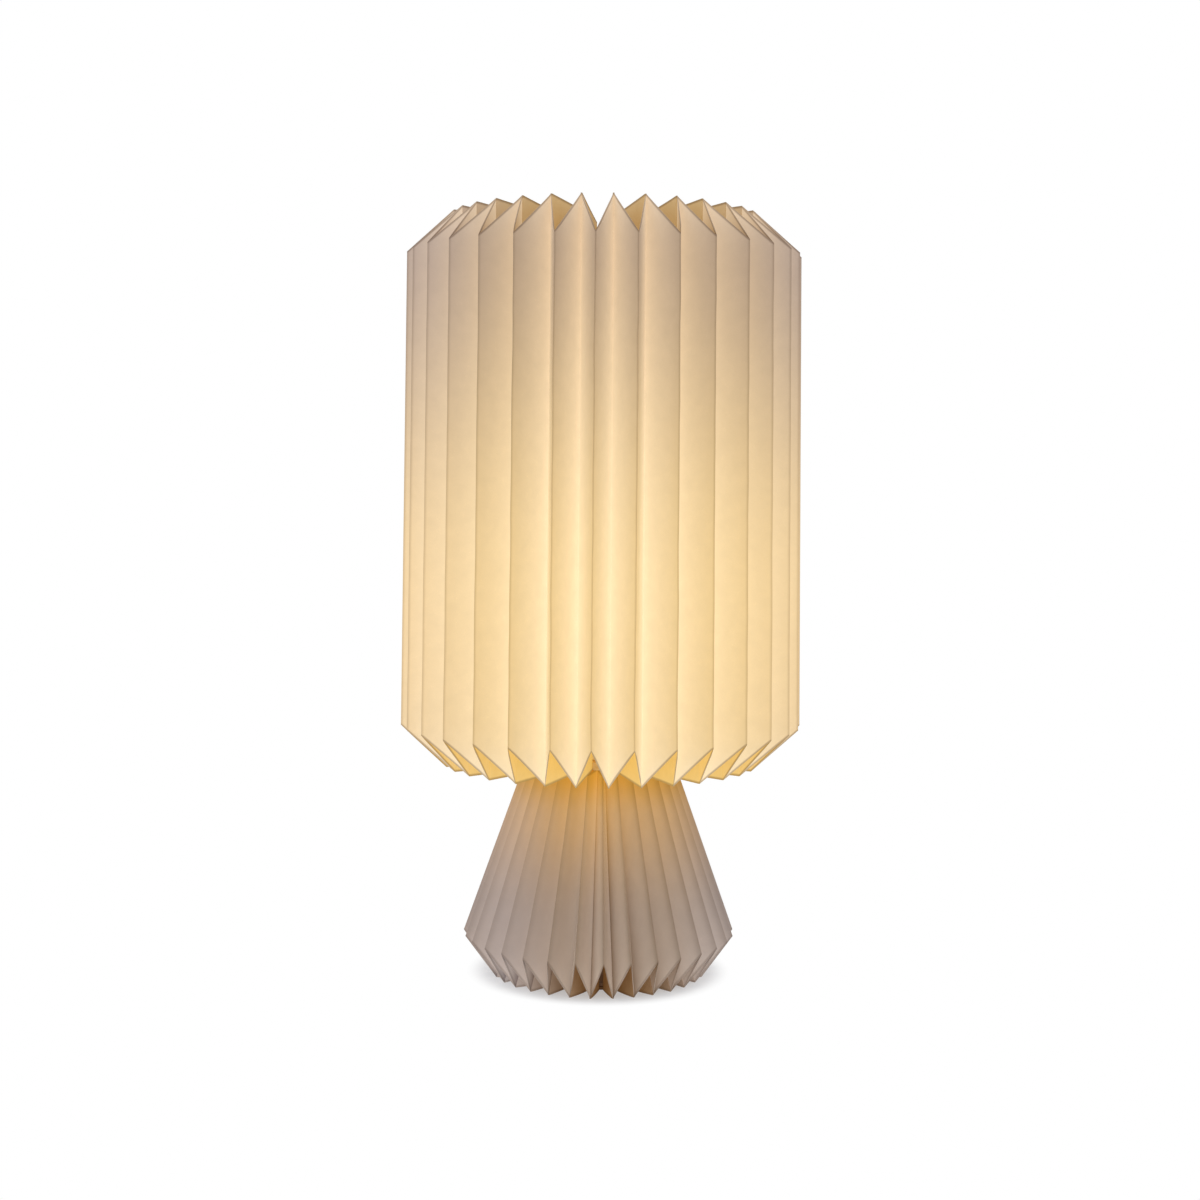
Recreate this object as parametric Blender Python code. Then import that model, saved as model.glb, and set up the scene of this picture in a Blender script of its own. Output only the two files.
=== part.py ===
"""Accordion paper lantern: a pleated paper shade on a pleated paper foot, round a battery lamp.

Run with: blender --background --python part.py
Units are metres and +Z is up. The lantern stands on z = 0 with its axis on z.
"""
import math

import bmesh
import bpy
from mathutils import Matrix, Vector

# Fits
FIT = 0.0003  # gap left wherever two pieces touch
ROUND = 48  # sides of a large round piece
SMALL_ROUND = 20  # sides of a small round piece

# Paper
PLEATS = 32  # pleats round the shade, and round the base
STRIPS = 4  # pleated strips glued end to end in each ring
PAPER = 0.0004  # thickness of one layer
PLEAT_CUT = 0.0212  # height of the slanted cut at a pleat's end

# Shade
SHADE_HEIGHT = 0.2890  # rib tip to rib tip
SHADE_LOW_VALLEY = 0.0830  # valley radius at the lower tips
SHADE_HIGH_VALLEY = 0.0807  # valley radius at the upper tips
SHADE_PLEAT_DEPTH = 0.0230  # radial step from valley fold to mountain fold
SHADE_RIB_FALL = 0.0045  # how far a rib's top edge falls towards the middle
SHADE_TURN = math.radians(3.3)  # how far the shade's ribs are turned about the axis

# Base
BASE_HEIGHT = 0.1107  # floor to the top edge of the base paper
BASE_PLEAT_DEPTH = 0.0230  # radial step from valley fold to mountain fold
FOOT_RIB = 0.0163  # rib width outside the foot case, at the floor
NECK_RIB = 0.0102  # rib width outside the stem, at the top
BASE_TURN = math.radians(-3.7)  # how far the base's ribs are turned about the axis

# Foot
RING_HEIGHT = 0.0015
RING_WIDTH = 0.0030
PLATE_THICK = 0.0020
FOOT_WALL = 0.0020
FOOT_CEILING = 0.0025
BALLAST_HEIGHT = 0.0065

# Battery cells and their tray
CELLS = 3
CELL_RADIUS = 0.00725
CELL_BODY = 0.0495
CELL_NUB = 0.0010
CELL_NUB_RADIUS = 0.00275
CELL_GAP = 0.0006
TRAY_WALL = 0.0015
TRAY_ROOM = 0.0012  # play between the tray's corners and the case
CONTACT_THICK = 0.0005
CONTACT_EDGE = 0.0020  # how far a contact stops short of the cells' outline

# Battery door
DOOR_GAP = 0.0004
PIN_RADIUS = 0.0006
KNUCKLE_WALL = 0.0007
TONGUE_HALF = 0.0100  # half the length of the door's hinge tongue
LUG_LENGTH = 0.0050  # length of each hinge lug on the foot plate

# Screws
SCREW_RADIUS = 0.0012
SCREW_LENGTH = 0.0100
SCREW_HEAD_RADIUS = 0.0026
SCREW_HEAD = 0.0009
BOSS_WALL = 0.0015

# Switch
SWITCH_LENGTH = 0.0120
SWITCH_WIDTH = 0.0050
SWITCH_HEIGHT = 0.0050
SLIDER_SIDE = 0.0030
SLIDER_TRAVEL = 0.0040
SLIDER_RECESS = 0.0006  # height of the slider's end above the floor

# Stem
STEM_RADIUS = 0.0060
STEM_WALL = 0.0010
STEM_END = 0.0005  # thread standing out past a nut
NUT_FLATS = 0.0170
NUT_HEIGHT = 0.0045
LEAD_RADIUS = 0.0008
LEAD_SPREAD = 0.0016  # each lead's distance from the axis

# Lamp
GLOBE_RADIUS = 0.0220
GLOBE_WALL = 0.0015
GLOBE_SHOULDER = 0.0043  # how much narrower the neck is than the globe
GLOBE_ROOM = 0.0065  # air between the globe and the shade's ribs
GLOBE_ARC = 12  # sides of the globe's half outline
CUP_WALL = 0.0020
CUP_FLOOR = 0.0020
CUP_LIP = 0.0090  # cup wall standing above the heat sink's seat
NUT_ROOM = 0.0010  # air round and over the upper nut
SINK_THICK = 0.0040
SINK_BORE = 0.0030
BOARD_THICK = 0.0016
BOARD_ROOM = 0.0012  # air between the board and the globe's neck
LEDS = 6
LED_SIDE = 0.0040
LED_HEIGHT = 0.0012
LED_EDGE = 0.0030  # board left outside the ring of light sources
SEAT_THICK = 0.0040
SEAT_CLEAR = 0.0005  # play between the seat plate and the shade's ribs

# Levels and radii that follow from the sizes above
PLATE_LOW = RING_HEIGHT + FIT
PLATE_HIGH = PLATE_LOW + PLATE_THICK
TRAY_LOW = PLATE_HIGH + FIT
CELL_AXIS = TRAY_LOW + CELL_RADIUS
TRAY_CEILING = CELL_AXIS + CELL_RADIUS + FIT
TRAY_HIGH = TRAY_CEILING + TRAY_WALL
BALLAST_LOW = TRAY_HIGH + FIT
BALLAST_HIGH = BALLAST_LOW + max(BALLAST_HEIGHT, NUT_HEIGHT + STEM_END + 2 * FIT)
CEILING_LOW = BALLAST_HIGH + FIT
FOOT_TOP = CEILING_LOW + FOOT_CEILING
CELL_LENGTH = CELL_BODY + CELL_NUB
CELL_PITCH = 2 * CELL_RADIUS + CELL_GAP
ROOM_X = CELL_LENGTH / 2 + CONTACT_THICK + 2 * FIT
ROOM_Y = (CELLS - 1) * CELL_PITCH / 2 + CELL_RADIUS + FIT
TRAY_X = ROOM_X + TRAY_WALL
TRAY_Y = ROOM_Y + TRAY_WALL
BOSS_RADIUS = SCREW_RADIUS + FIT + BOSS_WALL
KNUCKLE_RADIUS = PIN_RADIUS + FIT + KNUCKLE_WALL
HINGE_Y = -(TRAY_Y + FIT + KNUCKLE_RADIUS)
HINGE_Z = (PLATE_LOW + PLATE_HIGH) / 2
BOSS_X = TRAY_X + FIT + BOSS_RADIUS
BOSS_Y = HINGE_Y - KNUCKLE_RADIUS - 3 * FIT - BOSS_RADIUS
SWITCH_Y = TRAY_Y + 3 * FIT + SWITCH_WIDTH / 2
SWITCH_CORNER = math.hypot(SWITCH_LENGTH / 2, SWITCH_Y + SWITCH_WIDTH / 2)
CASE_BORE = max(
    math.hypot(TRAY_X, TRAY_Y) + TRAY_ROOM,
    BOSS_X + BOSS_RADIUS,
    BOSS_RADIUS - BOSS_Y,
    SWITCH_CORNER + FIT,
)
FOOT_RADIUS = CASE_BORE + FOOT_WALL
BALLAST_RADIUS = min(BOSS_X, -BOSS_Y) - BOSS_RADIUS - FIT
NUT_CORNER = NUT_FLATS / 2 / math.cos(math.pi / 6)
STEM_BORE = STEM_RADIUS + FIT
RIB_CROWD = PLEATS * (2 * PAPER + 2 * FIT) / (2 * math.pi)
BASE_RIB_BORE = max(STEM_BORE, RIB_CROWD)
SEAT_LOW = BASE_HEIGHT + FIT
SEAT_HIGH = SEAT_LOW + SEAT_THICK
SHADE_RIB_BORE = GLOBE_RADIUS + GLOBE_ROOM
SEAT_RADIUS = SHADE_RIB_BORE - SEAT_CLEAR
CUP_LOW = SEAT_HIGH + FIT
CUP_FLOOR_TOP = CUP_LOW + CUP_FLOOR
UPPER_NUT_LOW = CUP_FLOOR_TOP + FIT
STEM_TOP = UPPER_NUT_LOW + NUT_HEIGHT + STEM_END
STEM_LOW = CEILING_LOW - FIT - NUT_HEIGHT - STEM_END
SINK_SEAT = STEM_TOP + NUT_ROOM
SINK_LOW = SINK_SEAT + FIT
SINK_HIGH = SINK_LOW + SINK_THICK
CUP_CHAMBER = NUT_CORNER + NUT_ROOM
NECK_RADIUS = GLOBE_RADIUS - GLOBE_SHOULDER
CUP_BORE = NECK_RADIUS + FIT
CUP_RADIUS = CUP_BORE + CUP_WALL
CUP_TOP = SINK_SEAT + CUP_LIP
NECK_LOW = SINK_HIGH + FIT
NECK_BORE = NECK_RADIUS - GLOBE_WALL
GLOBE_CENTRE = CUP_TOP + GLOBE_WALL + math.sqrt(GLOBE_RADIUS**2 - NECK_RADIUS**2)
BOARD_LOW = SINK_HIGH + FIT
BOARD_HIGH = BOARD_LOW + BOARD_THICK
BOARD_RADIUS = NECK_BORE - BOARD_ROOM
LED_CIRCLE = BOARD_RADIUS - LED_EDGE - LED_SIDE / 2

# Finishes: colour, roughness and metallic value
WARM_PAPER = ("warm_paper", (0.86, 0.74, 0.58), 0.85, 0.0)
TAUPE_PAPER = ("taupe_paper", (0.55, 0.44, 0.35), 0.88, 0.0)
WHITE_PLASTIC = ("white_plastic", (0.82, 0.80, 0.76), 0.45, 0.0)
BROWN_PLASTIC = ("brown_plastic", (0.20, 0.115, 0.06), 0.50, 0.0)
DARK_PLASTIC = ("dark_plastic", (0.05, 0.05, 0.05), 0.50, 0.0)
RUBBER = ("rubber", (0.13, 0.075, 0.04), 0.80, 0.0)
STEEL = ("steel", (0.60, 0.60, 0.60), 0.30, 1.0)
WHITE_STEEL = ("white_steel", (0.85, 0.83, 0.79), 0.40, 0.0)
ALUMINIUM = ("aluminium", (0.75, 0.75, 0.76), 0.35, 1.0)
CELL_JACKET = ("cell_jacket", (0.20, 0.24, 0.28), 0.35, 0.2)
WHITE_BOARD = ("white_board", (0.85, 0.85, 0.83), 0.40, 0.0)
LED_YELLOW = ("led_yellow", (0.95, 0.75, 0.25), 0.30, 0.0)
OPAL = ("opal", (0.96, 0.93, 0.85), 0.30, 0.0)
RED_LEAD = ("red_lead", (0.60, 0.04, 0.03), 0.50, 0.0)
BLACK_LEAD = ("black_lead", (0.02, 0.02, 0.02), 0.50, 0.0)


def clear_scene():
    for obj in list(bpy.data.objects):
        bpy.data.objects.remove(obj, do_unlink=True)


def finish(spec):
    """The material of a finish, made once."""
    name, colour, roughness, metallic = spec
    material = bpy.data.materials.get(name)
    if material is None:
        material = bpy.data.materials.new(name)
        material.use_nodes = True
        shader = material.node_tree.nodes["Principled BSDF"]
        shader.inputs["Base Color"].default_value = (*colour, 1.0)
        shader.inputs["Roughness"].default_value = roughness
        shader.inputs["Metallic"].default_value = metallic
    return material


def empty(name, parent=None):
    obj = bpy.data.objects.new(name, None)
    bpy.context.scene.collection.objects.link(obj)
    obj.parent = parent
    return obj


def solid(name, bm, spec, parent, origin=(0, 0, 0)):
    """A named object from a closed bmesh in world coordinates, with its origin moved to a point."""
    bmesh.ops.recalc_face_normals(bm, faces=bm.faces)
    bmesh.ops.translate(bm, vec=-Vector(origin), verts=bm.verts)
    mesh = bpy.data.meshes.new(name)
    bm.to_mesh(mesh)
    bm.free()
    obj = bpy.data.objects.new(name, mesh)
    bpy.context.scene.collection.objects.link(obj)
    obj.location = origin
    obj.parent = parent
    if spec:
        mesh.materials.append(finish(spec))
    return obj


def helper(name, bm, parent):
    """A cutter or an added shape, which is no piece of its own."""
    obj = solid(name, bm, None, parent)
    obj.hide_render = True
    obj.display_type = "WIRE"
    return obj


def combine(target, operation, *tools):
    """Joins shapes to a piece, or cuts them from it."""
    for tool in tools:
        modifier = target.modifiers.new(tool.name, "BOOLEAN")
        modifier.operation = operation
        modifier.solver = "EXACT"
        modifier.object = tool


def block(low, high):
    """A box between two corners."""
    bm = bmesh.new()
    low, high = Vector(low), Vector(high)
    size = Matrix.Diagonal((*(high - low), 1))
    bmesh.ops.create_cube(bm, size=1, matrix=Matrix.Translation((low + high) / 2) @ size)
    return bm


def rod(radius, low, high, centre=(0, 0), sides=SMALL_ROUND, turn=0.0):
    """An upright cylinder or prism."""
    bm = bmesh.new()
    place = Matrix.Translation((*centre, (low + high) / 2)) @ Matrix.Rotation(turn, 4, "Z")
    bmesh.ops.create_cone(
        bm, cap_ends=True, segments=sides, radius1=radius, radius2=radius, depth=high - low, matrix=place
    )
    return bm


def rod_along_x(radius, low, high, y, z, sides=SMALL_ROUND):
    """A cylinder that lies along x."""
    bm = bmesh.new()
    place = Matrix.Translation(((low + high) / 2, y, z)) @ Matrix.Rotation(math.pi / 2, 4, "Y")
    bmesh.ops.create_cone(
        bm, cap_ends=True, segments=sides, radius1=radius, radius2=radius, depth=high - low, matrix=place
    )
    return bm


def lathe(outline, sides=ROUND):
    """A closed outline of (radius, height) turned once round z."""
    bm = bmesh.new()
    points = [bm.verts.new((radius, 0, height)) for radius, height in outline]
    edges = []
    for first, second in zip(points, points[1:] + points[:1]):
        if first.co.x > 0 or second.co.x > 0:
            edges.append(bm.edges.new((first, second)))
    bmesh.ops.spin(
        bm, geom=points + edges, cent=(0, 0, 0), axis=(0, 0, 1), angle=2 * math.pi, steps=sides, use_merge=True
    )
    bmesh.ops.remove_doubles(bm, verts=bm.verts, dist=1e-7)
    return bm


def tube(inner, outer, low, high, sides=ROUND):
    return lathe([(inner, low), (outer, low), (outer, high), (inner, high)], sides)


def hex_nut(low):
    """A nut on the stem, standing on a level."""
    bm = bmesh.new()
    rings = []
    for height in (low, low + NUT_HEIGHT):
        ring = []
        for side in range(SMALL_ROUND * 6 // 5):
            angle = 2 * math.pi * side / (SMALL_ROUND * 6 // 5)
            fold = (angle + math.pi / 6) % (math.pi / 3) - math.pi / 6
            outer = NUT_FLATS / 2 / math.cos(fold)
            ring.append([polar(STEM_BORE, angle, 0, height), polar(outer, angle, 0, height)])
        rings.append([[bm.verts.new(point) for point in pair] for pair in ring])
    lower, upper = rings
    for here in range(len(lower)):
        after = (here + 1) % len(lower)
        for level in rings:
            bm.faces.new((level[here][0], level[here][1], level[after][1], level[after][0]))
        for edge in (0, 1):
            bm.faces.new((lower[here][edge], lower[after][edge], upper[after][edge], upper[here][edge]))
    return bm


def polar(radius, angle, side, height):
    """A point at a radius along a direction, moved sideways from it, at a height."""
    along = Vector((math.cos(angle), math.sin(angle), 0))
    across = Vector((-math.sin(angle), math.cos(angle), 0))
    return along * radius + across * side + Vector((0, 0, height))


class PleatForm:
    """The shape of one ring of pleats: valley and mountain folds, slanted ends, and a pinched rib
    behind each valley fold."""

    def __init__(self, turn, low, high, low_valley, high_valley, depth, low_cut, high_cut, rib):
        self.turn = turn
        self.low, self.high = low, high
        self.low_valley, self.high_valley = low_valley, high_valley
        self.depth = depth
        self.low_cut, self.high_cut = low_cut, high_cut
        self.rib = rib  # (radius, height) of the rib's inner edge, from the bottom to the top
        self.half_pitch = math.pi / PLEATS

    def valley(self, height):
        share = (height - self.low) / (self.high - self.low)
        return self.low_valley + share * (self.high_valley - self.low_valley)

    def mountain(self, height):
        return self.valley(height) + self.depth

    def lean(self, height):
        """The angle of a panel to the direction of its rib."""
        valley, mountain = self.valley(height), self.mountain(height)
        across = mountain * math.sin(self.half_pitch)
        return math.atan2(across, mountain * math.cos(self.half_pitch) - valley)

    def valley_inside(self, height):
        return self.valley(height) - PAPER * math.tan(self.lean(height) / 2)

    def fold_points(self, angle):
        """The outer and the inner edge of a mountain fold, each from its low end to its high end."""
        outer, inner = [], []
        for tip, corner in (
            (self.low, self.low + self.low_cut),
            (self.high, self.high - self.high_cut),
        ):
            inset = PAPER / math.sin(self.lean(corner) - self.half_pitch)
            height = corner + (tip - corner) * inset / self.depth
            outer.append(polar(self.mountain(corner), angle, 0, corner))
            inner.append(polar(self.mountain(height) - inset, angle, 0, height))
        return outer, inner

    def valley_edge(self, angle, side):
        """The valley fold's edge on the outside of the paper."""
        return [polar(self.valley(level), angle, side, level) for level in (self.low, self.high)]

    def rib_face(self, angle, side):
        """The outline of one face of a rib, from its low outer corner round to its high outer one."""
        low = polar(self.valley_inside(self.low), angle, side, self.low)
        high = polar(self.valley_inside(self.high), angle, side, self.high)
        return [low] + [polar(radius, angle, side, height) for radius, height in self.rib] + [high]


def panel(bm, first, second):
    """The two triangles between two edges, each given as its low end and its high end."""
    bm.faces.new((first[0], second[0], second[-1]))
    bm.faces.new((first[0], second[-1], first[-1]))


def pleated_strip(form, first, count):
    """A strip of pleats that starts and ends with one layer of a rib, to be glued to the next strip."""
    bm = bmesh.new()

    def placed(points):
        return [bm.verts.new(point) for point in points]

    step = 2 * form.half_pitch
    ribs, folds = [], []
    for index in range(count + 1):
        angle = form.turn + (first + index) * step
        starts, ends = index == 0, index == count
        glue = FIT / 2 if starts else -FIT / 2 if ends else 0.0
        edge = placed(form.valley_edge(angle, glue))
        left_side = glue - PAPER
        right_side = glue + PAPER
        glued_face = form.rib_face(angle, glue)[1:-1]
        left = [edge[0], *placed(glued_face), edge[1]] if starts else placed(form.rib_face(angle, left_side))
        right = [edge[0], *placed(glued_face), edge[1]] if ends else placed(form.rib_face(angle, right_side))
        ribs.append((edge, left, right))
        if not ends:
            outer, inner = form.fold_points(angle + form.half_pitch)
            folds.append((placed(outer), placed(inner)))
    for edge, left, right in ribs:
        bm.faces.new(left)
        bm.faces.new(right)
        for here in range(1, len(left) - 2):
            bm.faces.new((left[here], left[here + 1], right[here + 1], right[here]))
        for end, near in ((0, 1), (-1, -2)):
            rim = [edge[end], left[end], left[near], right[near], right[end]]
            bm.faces.new(list(dict.fromkeys(rim)))
    for index, (outer, inner) in enumerate(folds):
        edge, _, right = ribs[index]
        next_edge, next_left, _ = ribs[index + 1]
        panel(bm, edge, outer)
        panel(bm, outer, next_edge)
        panel(bm, right, inner)
        panel(bm, inner, next_left)
        for end in (0, -1):
            bm.faces.new((edge[end], outer[end], inner[end], right[end]))
            bm.faces.new((outer[end], next_edge[end], next_left[end], inner[end]))
    return bm


def add_paper(shade, base):
    """The two rings of pleated paper, each in strips."""
    shade_low = BASE_HEIGHT + FIT
    shade_high = shade_low + SHADE_HEIGHT
    shade_rib = [(SHADE_RIB_BORE, shade_low), (SHADE_RIB_BORE, shade_high - SHADE_RIB_FALL)]
    shade_form = PleatForm(
        SHADE_TURN,
        shade_low,
        shade_high,
        SHADE_LOW_VALLEY,
        SHADE_HIGH_VALLEY,
        SHADE_PLEAT_DEPTH,
        PLEAT_CUT,
        PLEAT_CUT,
        shade_rib,
    )
    foot_clear = FOOT_RADIUS + FIT
    base_rib = [
        (foot_clear, 0.0),
        (foot_clear, FOOT_TOP + FIT),
        (BASE_RIB_BORE, FOOT_TOP + FIT),
        (BASE_RIB_BORE, BASE_HEIGHT),
    ]
    base_form = PleatForm(
        BASE_TURN,
        0.0,
        BASE_HEIGHT,
        foot_clear + FOOT_RIB,
        BASE_RIB_BORE + NECK_RIB,
        BASE_PLEAT_DEPTH,
        PLEAT_CUT,
        0.0,
        base_rib,
    )
    edges = [PLEATS * strip // STRIPS for strip in range(STRIPS + 1)]
    for strip in range(STRIPS):
        first, count = edges[strip], edges[strip + 1] - edges[strip]
        solid(f"shade_strip_{strip + 1}", pleated_strip(shade_form, first, count), WARM_PAPER, shade)
        solid(f"base_strip_{strip + 1}", pleated_strip(base_form, first, count), TAUPE_PAPER, base)


def screw_places():
    return [(BOSS_X, 0.0), (-BOSS_X, 0.0), (0.0, BOSS_Y)]


def add_foot(base):
    """The case, plate and ring that the lantern stands on, with the screws and the ballast."""
    solid("foot_ring", tube(FOOT_RADIUS - RING_WIDTH, FOOT_RADIUS, 0, RING_HEIGHT), RUBBER, base)

    case_outline = [
        (STEM_BORE, CEILING_LOW),
        (CASE_BORE, CEILING_LOW),
        (CASE_BORE, TRAY_LOW),
        (FOOT_RADIUS, TRAY_LOW),
        (FOOT_RADIUS, FOOT_TOP),
        (STEM_BORE, FOOT_TOP),
    ]
    case = solid("foot_case", lathe(case_outline), BROWN_PLASTIC, base)
    into_ceiling = CEILING_LOW + FOOT_CEILING / 2
    bosses = [helper("boss", rod(BOSS_RADIUS, TRAY_LOW, into_ceiling, place), base) for place in screw_places()]
    pilot_top = PLATE_LOW + SCREW_HEAD + FIT + SCREW_LENGTH + 2 * FIT
    pilots = [
        helper("pilot", rod(SCREW_RADIUS + FIT, PLATE_LOW, pilot_top, place), base) for place in screw_places()
    ]
    combine(case, "UNION", *bosses)
    combine(case, "DIFFERENCE", *pilots)

    for number, place in enumerate(screw_places(), start=1):
        neck = PLATE_LOW + SCREW_HEAD
        screw = solid(f"case_screw_{number}", rod(SCREW_HEAD_RADIUS, PLATE_LOW, neck, place), STEEL, base)
        shank = helper("shank", rod(SCREW_RADIUS, neck - SCREW_HEAD / 2, neck + SCREW_LENGTH, place), base)
        combine(screw, "UNION", shank)

    ballast_bore = NUT_CORNER + FIT
    solid("ballast_ring", tube(ballast_bore, BALLAST_RADIUS, BALLAST_LOW, BALLAST_HIGH), STEEL, base)


def add_foot_plate(base):
    """The plate under the foot, with the door's opening, hinge lugs, screw holes and switch slot."""
    below, above = PLATE_LOW - FIT, PLATE_HIGH + FIT
    plate = solid("foot_plate", rod(FOOT_RADIUS, PLATE_LOW, PLATE_HIGH, sides=ROUND), BROWN_PLASTIC, base)
    lug_start, lug_end = TONGUE_HALF + FIT, TONGUE_HALF + FIT + LUG_LENGTH
    lugs = [
        helper("lug", rod_along_x(KNUCKLE_RADIUS, *span, HINGE_Y, HINGE_Z), base)
        for span in ((lug_start, lug_end), (-lug_end, -lug_start))
    ]
    opening = helper("opening", block((-ROOM_X, -ROOM_Y, below), (ROOM_X, ROOM_Y, above)), base)
    notch_back = HINGE_Y - KNUCKLE_RADIUS - FIT
    notch = helper("notch", block((-lug_start, notch_back, below - FIT), (lug_start, 0, above + FIT)), base)
    pin_hole = helper("pin_hole", rod_along_x(PIN_RADIUS + FIT, -lug_end, lug_end, HINGE_Y, HINGE_Z), base)
    slot_half = SLIDER_SIDE / 2 + FIT
    slot_low = (-slot_half, SWITCH_Y - slot_half, below)
    slot_high = (slot_half + SLIDER_TRAVEL, SWITCH_Y + slot_half, above)
    slot = helper("slot", block(slot_low, slot_high), base)
    holes = []
    for place in screw_places():
        holes.append(helper("screw_hole", rod(SCREW_RADIUS + FIT, below, above, place), base))
        sunk = rod(SCREW_HEAD_RADIUS + FIT, below, PLATE_LOW + SCREW_HEAD + FIT, place)
        holes.append(helper("head_sink", sunk, base))
    combine(plate, "UNION", *lugs)
    combine(plate, "DIFFERENCE", opening, notch, pin_hole, slot, *holes)


def add_door(base):
    """The battery door, hinged on a pin under the foot."""
    axis = (0, HINGE_Y, HINGE_Z)
    door_x, door_y = ROOM_X - DOOR_GAP, ROOM_Y - DOOR_GAP
    leaf = block((-door_x, -door_y, PLATE_LOW), (door_x, door_y, PLATE_HIGH))
    door = solid("battery_door", leaf, BROWN_PLASTIC, base, axis)
    tongue = block((-TONGUE_HALF, HINGE_Y, PLATE_LOW), (TONGUE_HALF, -door_y + DOOR_GAP, PLATE_HIGH))
    knuckle = rod_along_x(KNUCKLE_RADIUS, -TONGUE_HALF, TONGUE_HALF, HINGE_Y, HINGE_Z)
    pin_end = TONGUE_HALF + LUG_LENGTH
    hole = rod_along_x(PIN_RADIUS + FIT, -pin_end, pin_end, HINGE_Y, HINGE_Z)
    combine(door, "UNION", helper("tongue", tongue, base), helper("knuckle", knuckle, base))
    combine(door, "DIFFERENCE", helper("door_hole", hole, base))
    solid("door_pin", rod_along_x(PIN_RADIUS, -pin_end, pin_end, HINGE_Y, HINGE_Z), STEEL, base)


def add_switch(base):
    """The slide switch beside the door, worked from under the foot."""
    half = SWITCH_LENGTH / 2
    centre_x = SLIDER_TRAVEL / 2
    low = (centre_x - half, SWITCH_Y - SWITCH_WIDTH / 2, TRAY_LOW)
    high = (centre_x + half, SWITCH_Y + SWITCH_WIDTH / 2, TRAY_LOW + SWITCH_HEIGHT)
    solid("switch_body", block(low, high), DARK_PLASTIC, base)
    side = SLIDER_SIDE / 2
    slider = block((-side, SWITCH_Y - side, SLIDER_RECESS), (side, SWITCH_Y + side, PLATE_HIGH))
    solid("switch_slider", slider, WHITE_PLASTIC, base, (0, SWITCH_Y, HINGE_Z))


def add_cells(base):
    """The tray, its contacts and the cells that lie in it on the door."""
    tray = solid("cell_tray", block((-TRAY_X, -TRAY_Y, TRAY_LOW), (TRAY_X, TRAY_Y, TRAY_HIGH)), DARK_PLASTIC, base)
    room = block((-ROOM_X, -ROOM_Y, TRAY_LOW - FIT), (ROOM_X, ROOM_Y, TRAY_CEILING))
    combine(tray, "DIFFERENCE", helper("tray_room", room, base))
    end = CELL_LENGTH / 2
    for number in range(CELLS):
        y = (number - (CELLS - 1) / 2) * CELL_PITCH
        way = 1 if number % 2 == 0 else -1
        body_span = sorted((-way * end, way * (end - CELL_NUB)))
        nub_span = sorted((way * (end - 2 * CELL_NUB), way * end))
        cell = solid(
            f"battery_cell_{number + 1}", rod_along_x(CELL_RADIUS, *body_span, y, CELL_AXIS), CELL_JACKET, base
        )
        nub = helper("nub", rod_along_x(CELL_NUB_RADIUS, *nub_span, y, CELL_AXIS), base)
        combine(cell, "UNION", nub)
    half_y = ROOM_Y - CONTACT_EDGE
    low, high = CELL_AXIS - CELL_RADIUS + CONTACT_EDGE, CELL_AXIS + CELL_RADIUS - CONTACT_EDGE
    for name, way in (("left", -1), ("right", 1)):
        near, far = sorted((way * (end + FIT), way * (end + FIT + CONTACT_THICK)))
        solid(f"contact_strip_{name}", block((near, -half_y, low), (far, half_y, high)), STEEL, base)


def add_stem(base):
    """The stem that ties the foot to the lamp, with its nuts, the leads inside it and the seat plate."""
    solid("stem_tube", tube(STEM_RADIUS - STEM_WALL, STEM_RADIUS, STEM_LOW, STEM_TOP, SMALL_ROUND), STEEL, base)
    solid("stem_nut_lower", hex_nut(CEILING_LOW - FIT - NUT_HEIGHT), STEEL, base)
    solid("stem_nut_upper", hex_nut(UPPER_NUT_LOW), STEEL, base)
    solid("seat_plate", tube(STEM_BORE, SEAT_RADIUS, SEAT_LOW, SEAT_HIGH), WHITE_STEEL, base)
    for name, spec, way in (("lead_red", RED_LEAD, 1), ("lead_black", BLACK_LEAD, -1)):
        lead = rod(LEAD_RADIUS, TRAY_HIGH + FIT, BOARD_LOW - FIT, (way * LEAD_SPREAD, 0), sides=10)
        solid(name, lead, spec, base)


def add_lamp(base):
    """The cup on the seat plate, with the heat sink, board and light sources under an opal globe."""
    cup = [
        (STEM_BORE, CUP_LOW),
        (CUP_RADIUS, CUP_LOW),
        (CUP_RADIUS, CUP_TOP),
        (CUP_BORE, CUP_TOP),
        (CUP_BORE, SINK_SEAT),
        (CUP_CHAMBER, SINK_SEAT),
        (CUP_CHAMBER, CUP_FLOOR_TOP),
        (STEM_BORE, CUP_FLOOR_TOP),
    ]
    solid("lamp_cup", lathe(cup), WHITE_PLASTIC, base)
    solid("heat_sink", tube(SINK_BORE, NECK_RADIUS, SINK_LOW, SINK_HIGH), ALUMINIUM, base)
    solid("led_board", rod(BOARD_RADIUS, BOARD_LOW, BOARD_HIGH, sides=ROUND), WHITE_BOARD, base)
    for number in range(LEDS):
        angle = 2 * math.pi * number / LEDS
        centre = polar(LED_CIRCLE, angle, 0, BOARD_HIGH + FIT)
        chip = rod(LED_SIDE / math.sqrt(2), centre.z, centre.z + LED_HEIGHT, centre.xy, 4, angle + math.pi / 4)
        solid(f"led_chip_{number + 1}", chip, LED_YELLOW, base)
    solid("globe", lathe(globe_outline()), OPAL, base, (0, 0, GLOBE_CENTRE))


def globe_outline():
    """The opal globe's wall: up the outside from its neck, over the top and back down the inside."""
    outline = [(NECK_RADIUS, NECK_LOW)]
    outline += ball_arc(GLOBE_RADIUS, NECK_RADIUS)
    outline += reversed(ball_arc(GLOBE_RADIUS - GLOBE_WALL, NECK_BORE))
    outline.append((NECK_BORE, NECK_LOW))
    return outline


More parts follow.
